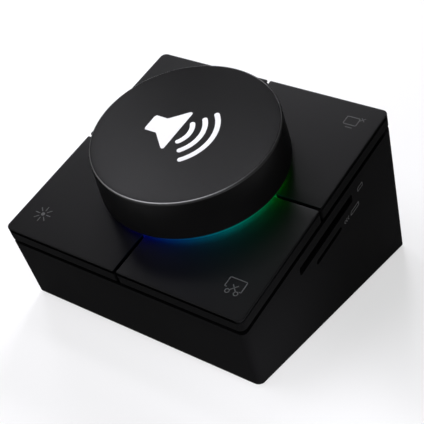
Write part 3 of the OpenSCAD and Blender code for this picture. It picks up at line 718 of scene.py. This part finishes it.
def stroke(path, width, closed=False, thick=INK_THICK, ends=7):
    """A printed line or a strip: a low flat-topped film carried along a path of (a, b) points.

    Across the path the film is a fixed section. An open path gets round ends: it runs on by half the
    width, and the half width falls as the square root of 1 - t squared over that run.
    """
    path = np.asarray(path, float)
    half = width / 2
    if closed:
        along = np.roll(path, -1, 0) - np.roll(path, 1, 0)
        half_width = np.full(len(path), half)
    else:
        along = np.gradient(path, axis=0)
        reach = np.sin(np.linspace(0.5 * np.pi, 0, ends, endpoint=False))
        unit = along / np.linalg.norm(along, axis=1, keepdims=True)
        head = path[0] - half * reach[:, None] * unit[0]
        tail = path[-1] + half * reach[::-1, None] * unit[-1]
        taper = np.maximum(np.sqrt(1 - reach ** 2), STROKE_TIP)
        half_width = half * np.concatenate([taper, np.ones(len(path)), taper[::-1]])
        along = np.concatenate([np.repeat(unit[:1], ends, 0), unit, np.repeat(unit[-1:], ends, 0)])
        path = np.concatenate([head, path, tail])
    side = np.stack([-along[:, 1], along[:, 0]], axis=-1)
    side /= np.linalg.norm(side, axis=1, keepdims=True)
    flat = path[:, None] + (half_width[:, None] * STROKE_ACROSS)[..., None] * side[:, None]
    lift = np.broadcast_to(thick * STROKE_LIFT, flat.shape[:2])
    rows = np.concatenate([flat, lift[..., None]], axis=-1)
    if closed:
        return skin(rows, loop=True)
    return skin(rows, rows[0].mean(0), rows[-1].mean(0))


def block(profile, steps=9):
    """A filled printed area between v = h(u) and v = -h(u): (u, t h(u)) for t from -1 to 1."""
    u, h = np.asarray(profile, float).T
    t = np.concatenate([np.linspace(-1, 1, steps), np.linspace(1, -1, steps)])
    lift = INK_THICK * np.concatenate([np.full(steps, 1.0), np.full(steps, -1.0)])
    rows = np.stack([np.broadcast_to(u[:, None], (len(u), len(t))), h[:, None] * t,
                     np.broadcast_to(lift, (len(u), len(t)))], axis=-1)
    return skin(rows, rows[0].mean(0), rows[-1].mean(0))


def print_mark(name, shapes, place, material, body):
    """Joins printed shapes, drawn as (a, b, lift), and puts them on the object with place()."""
    piece(name, join([s.moved(place) for s in shapes]), [material], body)


def on_top(centre, level=0.0):
    """A place() for marks on a face that lies along the slope at a level, round a centre (u, v)."""
    return lambda p: on_slope(p + np.array([centre[0], centre[1], level]))


def on_right_wall(centre):
    """A place() for marks on the right wall: a runs up the slope and b square to it, round (v, w)."""
    return lambda p: on_slope(np.stack([BODY_HALF + p[:, 2], centre[0] + p[:, 0], centre[1] + p[:, 1]], -1))


def ring_path(centre, radius, steps=40):
    """A closed circle as a path: centre + radius (cos a, sin a), without the point that comes twice."""
    return arc(centre, radius, 0, 360, steps + 1)[:-1]


def frame_path(low, high, r, steps=5):
    """A closed rectangle as a path: a quarter circle round a middle r in from each corner."""
    (a0, b0), (a1, b1) = low, high
    return np.concatenate([
        arc((a1 - r, b0 + r), r, -90, 0, steps), arc((a1 - r, b1 - r), r, 0, 90, steps),
        arc((a0 + r, b1 - r), r, 90, 180, steps), arc((a0 + r, b0 + r), r, 180, 270, steps)])


# Volume mark on the knob: a loudspeaker, given by its half heights, with three sound waves
VOLUME_AT = (-0.6, -0.6)
SPEAKER_HALF = [(-9.0, 1.9), (-8.7, 2.5), (-5.6, 2.5), (-5.2, 2.7), (-1.5, 6.2), (-1.0, 6.4), (-0.6, 6.1)]
WAVE_MIDDLE = (-2.6, 0.0)
WAVES = ((5.0, 38), (8.0, 42), (11.0, 45))
WAVE_LINE = 1.3
waves = [stroke(arc(WAVE_MIDDLE, radius, -span, span, 33), WAVE_LINE) for radius, span in WAVES]
print_mark("knob_mark", [block(SPEAKER_HALF)] + waves, on_top(VOLUME_AT, KNOB_HIGH), white_ink, "knob")

# Function marks on the keys: their middles, and the width of their lines
SUN_AT = (-27.7, -26.7)
SNIP_AT = (27.7, -26.4)
MONITOR_AT = (27.3, 27.6)
MICROPHONE_AT = (-25.6, 24.6)
ICON_LINE = 0.22
CANCEL_LINE = 0.18
SUN_R = 0.5
RAY_ENDS = (1.1, 2.25)
ways = arc((0, 0), 1.0, 0, 315, 8)
rays = [stroke(line(RAY_ENDS[0] * way, RAY_ENDS[1] * way, 5), ICON_LINE) for way in ways]
disc = block(arc((0, 0), SUN_R, 172, 8, 15))
print_mark("mark_front_left", rays + [disc], on_top(SUN_AT), faint_ink, "front_left_key")

SNIP_EYE = 0.5
snip = [
    stroke(np.concatenate([line((-1.75, -0.55), (-2.1, -0.55), 3), line((-2.2, -0.45), (-2.2, 1.9), 5),
                           line((-2.0, 2.1), (2.0, 2.1), 7), line((2.2, 1.9), (2.2, -0.75), 5),
                           line((2.1, -0.85), (1.75, -0.85), 3)]), ICON_LINE),
    stroke(ring_path((-0.95, -1.5), SNIP_EYE), ICON_LINE, closed=True),
    stroke(ring_path((1.25, -1.5), SNIP_EYE), ICON_LINE, closed=True),
    stroke(line((-0.65, -1.1), (0.8, 0.45), 5), ICON_LINE),
    stroke(line((0.95, -1.1), (-0.5, 0.45), 5), ICON_LINE),
]
print_mark("mark_front_right", snip, on_top(SNIP_AT), faint_ink, "front_right_key")

monitor = [
    stroke(frame_path((-1.9, -1.0), (1.5, 1.6), 0.35), ICON_LINE, closed=True),
    stroke(line((-0.75, -1.9), (0.85, -1.9), 5), ICON_LINE),
    stroke(line((1.7, 1.0), (2.7, 2.0), 4), CANCEL_LINE),
    stroke(line((1.7, 2.0), (2.7, 1.0), 4), CANCEL_LINE),
]
print_mark("mark_back_right", monitor, on_top(MONITOR_AT), faint_ink, "back_right_key")

microphone = [
    stroke(frame_path((-0.75, -0.4), (0.75, 2.3), 0.74), ICON_LINE, closed=True),
    stroke(arc((0, 0.3), 1.5, 185, 355, 25), ICON_LINE),
    stroke(line((0, -1.25), (0, -2.0), 4), ICON_LINE),
    stroke(line((-0.9, -2.05), (0.9, -2.05), 5), ICON_LINE),
]
print_mark("mark_back_left", microphone, on_top(MICROPHONE_AT), faint_ink, "back_left_key")


# Marks beside the card slots: a card for each, and arrows before the small card's
SD_MARK_AT = (16.8, -9.2)
MICRO_SD_MARK_AT = (12.2, -13.3)
WALL_LINE = 0.2
CARD_HIGH = 1.0
CARD_CUT = 0.35
SD_MARK_WIDE = 2.3
MICRO_SD_MARK_WIDE = 3.8
MICRO_SD_MARK_ALONG = 1.1
ARROW_TIPS = (-4.0, -3.2, -2.4)
ARROW_LONG = 0.45
ARROW_HALF = 0.5


def card_path(wide, high, cut):
    """Outline of a card lying on its side, with one corner cut off: lines between its five corners."""
    a, b = wide / 2, high / 2
    corners = np.array([(-a, -b), (a, -b), (a, b), (cut - a, b), (-a, b - cut)])
    return np.concatenate([line(p, q, 8)[:-1] for p, q in zip(corners, np.roll(corners, -1, 0))])


def arrow_path(tip):
    """An arrow head that points down the slope: two lines that meet at its tip."""
    back = tip + ARROW_LONG
    return np.concatenate([line((back, ARROW_HALF), (tip, 0), 4), line((tip, 0), (back, -ARROW_HALF), 4)[1:]])


sd_card = card_path(SD_MARK_WIDE, CARD_HIGH, CARD_CUT)
print_mark("mark_sd_slot", [stroke(sd_card, WALL_LINE, closed=True)], on_right_wall(SD_MARK_AT), faint_ink,
           "base")
arrows = [stroke(arrow_path(tip), WALL_LINE) for tip in ARROW_TIPS]
small_card = card_path(MICRO_SD_MARK_WIDE, CARD_HIGH, CARD_CUT) + (MICRO_SD_MARK_ALONG, 0)
print_mark("mark_micro_sd_slot", arrows + [stroke(small_card, WALL_LINE, closed=True)],
           on_right_wall(MICRO_SD_MARK_AT), faint_ink, "base")

# Sockets: gold contacts on their tongues, and the springs that hold a plug. Levels are w on the slope.
USB_A_LEVEL = -15.15
USB_A_PLACES = (-10.0, 10.0)
USB_A_UNDER = -0.32
USB_A_INNER = 2.55
USB_A_CONTACTS = (-3.5, -1.0, 1.0, 3.5)
CONTACT_ENDS = (-29.4, -22.4)
CONTACT_WIDE = 1.0
CONTACT_THICK = 0.06
SPRING_PLACES = (-3.0, 3.0)
SPRING_START = -30.4
SPRING_LONG = 5.2
SPRING_HALF = 0.85
SPRING_BOW = 0.42
SPRING_THICK = 0.12
SPRING_STEPS = 17
USB_C_LEVEL = -13.93
USB_C_TONGUE_HALF = 0.35
USB_C_PADS = 12
USB_C_PITCH = 0.5
PAD_ENDS = (27.0, 30.0)
PAD_WIDE = 0.26
PAD_THICK = 0.03


def under_tongue(along, level):
    """A place() for strips under a USB-A tongue: a runs into the socket, b along the wall, lift down."""
    return lambda p: on_slope(np.stack([p[:, 0], along + p[:, 1], level - p[:, 2]], axis=-1))


def on_inlet_tongue(side):
    """A place() for strips on a face of the inlet's tongue: a across it, b out of the back wall."""
    def place(p):
        level = USB_C_LEVEL + side * (USB_C_TONGUE_HALF + p[:, 2])
        return on_slope(np.stack([p[:, 0], p[:, 1], level], axis=-1))
    return place


def spring(along, level, side):
    """A leaf spring in a USB-A shell: a strip that bows off the shell by the sine of its length."""
    t = np.linspace(0, 1, SPRING_STEPS)[:, None]
    across = SPRING_HALF * np.array([-1.0, 1.0, 1.0, -1.0])
    lift = SPRING_THICK * np.array([0.0, 0.0, 1.0, 1.0])
    off_shell = level - side * (SPRING_BOW * np.sin(np.pi * t) + lift)
    rows = np.stack(np.broadcast_arrays(SPRING_START + SPRING_LONG * t, along + across, off_shell), axis=-1)
    return skin(rows, rows[0].mean(0), rows[-1].mean(0)).moved(on_slope)


contacts = [
    stroke(line((CONTACT_ENDS[0], b), (CONTACT_ENDS[1], b), 9), CONTACT_WIDE, thick=CONTACT_THICK).moved(
        under_tongue(place, USB_A_LEVEL + USB_A_UNDER))
    for place in USB_A_PLACES for b in USB_A_CONTACTS
]
piece("usb_a_contacts", join(contacts), [contact_gold], "base")
springs = [
    spring(place + b, USB_A_LEVEL + side * USB_A_INNER, side)
    for place in USB_A_PLACES for b in SPRING_PLACES for side in (-1, 1)
]
piece("usb_a_springs", join(springs), [socket_steel], "base")
pads = [
    stroke(line((a, PAD_ENDS[0]), (a, PAD_ENDS[1]), 5), PAD_WIDE, thick=PAD_THICK).moved(
        on_inlet_tongue(side))
    for a in USB_C_PITCH * (np.arange(USB_C_PADS) - (USB_C_PADS - 1) / 2) for side in (-1, 1)
]
piece("usb_c_contacts", join(pads), [contact_gold], "base")


def corners_of(node, inset):
    """The four middles of what a node repeats at the corners of its box, an inset in from its sides."""
    low, high = (np.asarray(corner, float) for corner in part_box(node))
    return [(x, y) for x in (low[0] + inset, high[0] - inset) for y in (low[1] + inset, high[1] - inset)]


def standing_at(x, y):
    """A place() for shapes in millimetres that stand on the desk at (x, y) in metres."""
    return lambda p: np.array([x, y, 0.0]) + MM * p


# Rubber feet: a disc with a round lower edge and a shallow dish under it
FOOT_R = 5.0
FOOT_HIGH = 1.4
FOOT_ROUND = 0.4
FOOT_MIDDLE = 0.9
FOOT_POLE_R = 1.0
FOOT_FACETS = 72
DISH_DEEP = 0.15
DISH_R = 2.4
DISH_RIM_R = 2.9
foot_profile = np.concatenate([
    [(FOOT_POLE_R, DISH_DEEP), (DISH_R, DISH_DEEP), (DISH_RIM_R, 0.0)],
    arc((FOOT_R - FOOT_ROUND, FOOT_ROUND), FOOT_ROUND, -90, 0, 8),
    [(FOOT_R, FOOT_MIDDLE), (FOOT_R, FOOT_HIGH)],
])
foot = revolve(foot_profile, FOOT_FACETS, DISH_DEEP, FOOT_HIGH)
feet = [foot.moved(standing_at(x, y)) for x, y in corners_of("rubber_feet", MM * FOOT_R)]
piece("feet", join(feet), [foot_rubber], "base", ["rubber_feet"])

# Base screws: a pan head with a cross recess, sunk in the base cover's hole
SCREW_HEAD_R = 2.1
SCREW_FACE = 1.0
SCREW_HEAD_HIGH = 1.2
SCREW_R = 1.1
SCREW_TIP = 9.2
SCREW_TIP_LONG = 0.6
SCREW_TIP_SHARE = 0.4
# The head's rounded rim, as pairs of how far in from the head's side and how far above its face
SCREW_RIM = ((0.3, 0.0), (0.08, 0.1), (0.0, 0.3))
CROSS_ARM = 1.25
CROSS_HALF = 0.32
CROSS_DEEP = 0.8
CROSS_FLOOR = 0.7
CROSS_LIP = 1.06
CROSS_LIP_DEEP = 0.04


def screw_shape():
    """A cross-head screw: a cross outline sunk into a turned head, then the shank, row by row."""
    a, b = CROSS_ARM, CROSS_HALF
    arm = np.array([(a, -b), (a, b), (b, b)])
    turns = [np.array([[np.cos(q), np.sin(q)], [-np.sin(q), np.cos(q)]]) for q in np.pi / 2 * np.arange(4)]
    corners = np.concatenate([arm @ turn for turn in turns])
    cross = np.concatenate([line(p, q, 5)[:-1] for p, q in zip(corners, np.roll(corners, -1, 0))])
    angle = np.arctan2(cross[:, 1], cross[:, 0])
    circle = np.stack([np.cos(angle), np.sin(angle)], axis=-1)
    neck = SCREW_FACE + SCREW_HEAD_HIGH
    levels = [
        (CROSS_FLOOR * cross, SCREW_FACE + CROSS_DEEP),
        (cross, SCREW_FACE + CROSS_LIP_DEEP),
        (CROSS_LIP * cross, SCREW_FACE),
        *(((SCREW_HEAD_R - inset) * circle, SCREW_FACE + up) for inset, up in SCREW_RIM),
        (SCREW_HEAD_R * circle, neck),
        (SCREW_R * circle, neck),
        (SCREW_R * circle, SCREW_TIP - SCREW_TIP_LONG),
        (SCREW_TIP_SHARE * SCREW_R * circle, SCREW_TIP),
    ]
    rows = np.stack([np.insert(flat, 2, level, axis=-1) for flat, level in levels])
    return skin(rows, (0, 0, SCREW_FACE + CROSS_DEEP), (0, 0, SCREW_TIP))


screw = screw_shape()
screws = [screw.moved(standing_at(x, y)) for x, y in corners_of("base_screws", MM * SCREW_HEAD_R)]
piece("cover_screws", join(screws), [screw_steel], "base", ["base_screws"], sharp=30)

# Studio: a pale floor in a white cove, softboxes round the slope, and lamps under the knob for the lit arc
FLOOR_SIZE = 3.0
FLOOR_PAINT = 0.8
FLOOR_WHITE_SHARE = 0.6
floor_mesh = bpy.data.meshes.new("floor")
floor_mesh.from_pydata([(-FLOOR_SIZE, -FLOOR_SIZE, 0), (FLOOR_SIZE, -FLOOR_SIZE, 0),
                        (FLOOR_SIZE, FLOOR_SIZE, 0), (-FLOOR_SIZE, FLOOR_SIZE, 0)], [], [(0, 1, 2, 3)])
floor = bpy.data.objects.new("floor", floor_mesh)
bpy.context.scene.collection.objects.link(floor)


def seen_share(sheet, most):
    """How much of plain white a camera, glossy or transmission ray sees: most, or 0 for other rays."""
    path = sheet.node("LightPath", out="Is Camera Ray")
    glossy, through = (Wire(sheet.tree, path.socket.node.outputs[f"Is {kind} Ray"])
                       for kind in ("Glossy", "Transmission"))
    return (path + glossy + through).math("MINIMUM", 1.0) * most


floor_paint = bpy.data.materials.new("floor_paint")
floor_paint.use_nodes = True
floor_paint.node_tree.nodes.clear()
sheet = Wire(floor_paint.node_tree)
matt = sheet.node("BsdfDiffuse", {}, {"Color": grey(FLOOR_PAINT)})
white = sheet.node("Emission", {}, {"Color": grey(1.0), "Strength": 1.0})
sheet.node("OutputMaterial", {}, {"Surface": sheet.node(
    "MixShader", {}, {0: seen_share(sheet, FLOOR_WHITE_SHARE), 1: matt, 2: white})})
floor_mesh.materials.append(floor_paint)

# Sines of the elevations where the white cove ends and the dark ceiling begins, and the light from all round
COVE_TOP = (0.25, 0.5)
CEILING_LIGHT = 0.03
FILL_LIGHT = 0.065
world = bpy.data.worlds.new("studio")
world.use_nodes = True
world.node_tree.nodes.clear()
sheet = Wire(world.node_tree)
fill = sheet.node("Background", {}, {"Color": grey(1.0), "Strength": FILL_LIGHT})
cove = sheet.node("Background", {}, {"Color": grey(1.0), "Strength": 1.0})
ceiling = sheet.node("Background", {}, {"Color": grey(1.0), "Strength": CEILING_LIGHT})
height = sheet.node("SeparateXYZ", {}, {0: sheet.node("TexCoord", out="Generated")}, out="Z")
backdrop = sheet.node("MixShader", {}, {0: height.step(*COVE_TOP), 1: cove, 2: ceiling})
sheet.node("OutputWorld", {}, {"Surface": sheet.node(
    "MixShader", {}, {0: seen_share(sheet, 1.0), 1: fill, 2: backdrop})})
bpy.context.scene.world = world


def lamp(name, kind, place, colour, watts, **settings):
    """A lamp at a place in metres."""
    data = bpy.data.lights.new(name, kind)
    data.color, data.energy = colour, watts
    for key, value in settings.items():
        setattr(data, key, value)
    made = bpy.data.objects.new(name, data)
    made.location = place
    bpy.context.scene.collection.objects.link(made)
    return made


def aim(thing, target):
    """Turns a lamp or camera so that its -Z axis points at a target and its Y axis is up."""
    thing.rotation_euler = (Vector(target) - thing.location).to_track_quat("-Z", "Y").to_euler()


COOL_WHITE = (0.98, 0.97, 1.03)
SOFTBOX_AWAY = 600.0
# Elevation and azimuth in degrees over the slope, watts, and width in metres
SOFTBOXES = {
    "back_strip": (18, 120, 1.92, 0.12),
    "left_strip": (18, 147, 0.85, 0.12),
    "left_box": (38, 145, 0.05, 0.1),
    "back_box": (50, 132, 0.3, 0.12),
    "high_box": (46, 145, 0.23, 0.08),
    "crest_box": (58, 118, 0.28, 0.12),
    "top_box": (66, -155, 2.2, 0.34),
    "rim_box": (74, -50, 0.72, 0.24),
}
# A small gridded box that lights the front of the right wall
SIDE_BOX_AT = (90.0, -45.0, -8.0)
SIDE_BOX_AIM = (BODY_HALF, -32.0, -22.0)
SIDE_BOX_WATTS = 0.015
SIDE_BOX_WIDE = 0.04
SIDE_BOX_SPREAD = np.radians(50)


def softbox(name, place, target, watts, width, **settings):
    """A square softbox at a place (u, v, w), aimed at a target (u, v, w)."""
    box = lamp(name, "AREA", on_slope(place), COOL_WHITE, watts, shape="RECTANGLE", size=width, size_y=width,
               **settings)
    aim(box, on_slope(target))


for name, (rise, turn, watts, width) in SOFTBOXES.items():
    flat = arc((0, 0), np.cos(np.radians(rise)), turn, turn, 1)[0]
    softbox(name, SOFTBOX_AWAY * np.array([*flat, np.sin(np.radians(rise))]), (0, 0, 0), watts, width)
softbox("side_box", SIDE_BOX_AT, SIDE_BOX_AIM, SIDE_BOX_WATTS, SIDE_BOX_WIDE, spread=SIDE_BOX_SPREAD)

# Lamps of the lit arc: their ring and level on the slope, degrees between them, watts and radius in metres
LAMP_RING = 20.4
LAMP_LEVEL = 1.3
LAMP_STEP = 2.5
LAMP_WATTS = 0.000176
LAMP_SIZE = 0.0006
for count, degrees in enumerate(np.arange(GLOW_RISE[0] + LAMP_STEP, GLOW_FALL[1], LAMP_STEP)):
    spot = arc((0, 0), LAMP_RING, degrees, degrees, 1)[0]
    ring_lamp = lamp(f"ring_lamp_{count}", "POINT", on_slope((*spot, LAMP_LEVEL)), glow_colour(degrees),
                     LAMP_WATTS, shadow_soft_size=LAMP_SIZE)
    ring_lamp.visible_camera = False

# Camera at the photograph's angle
CAMERA_PLACE = (0.12886, -0.18146, 0.15078)
CAMERA_LOOK = (-0.5027, 0.6986, -0.5092)
CAMERA_ROLL = np.radians(-0.974)
CAMERA_LENS = 86.71
CAMERA_SENSOR = 36.0
CAMERA_NEAR = 0.001
camera_data = bpy.data.cameras.new("camera")
camera_data.lens, camera_data.sensor_width = CAMERA_LENS, CAMERA_SENSOR
camera_data.clip_start = CAMERA_NEAR
camera = bpy.data.objects.new("camera", camera_data)
camera.location = CAMERA_PLACE
bpy.context.scene.collection.objects.link(camera)
upright = Vector(CAMERA_LOOK).to_track_quat("-Z", "Y")
camera.rotation_euler = (upright @ Quaternion((0.0, 0.0, 1.0), CAMERA_ROLL)).to_euler()
bpy.context.scene.camera = camera
bpy.context.scene.view_settings.view_transform = "Standard"
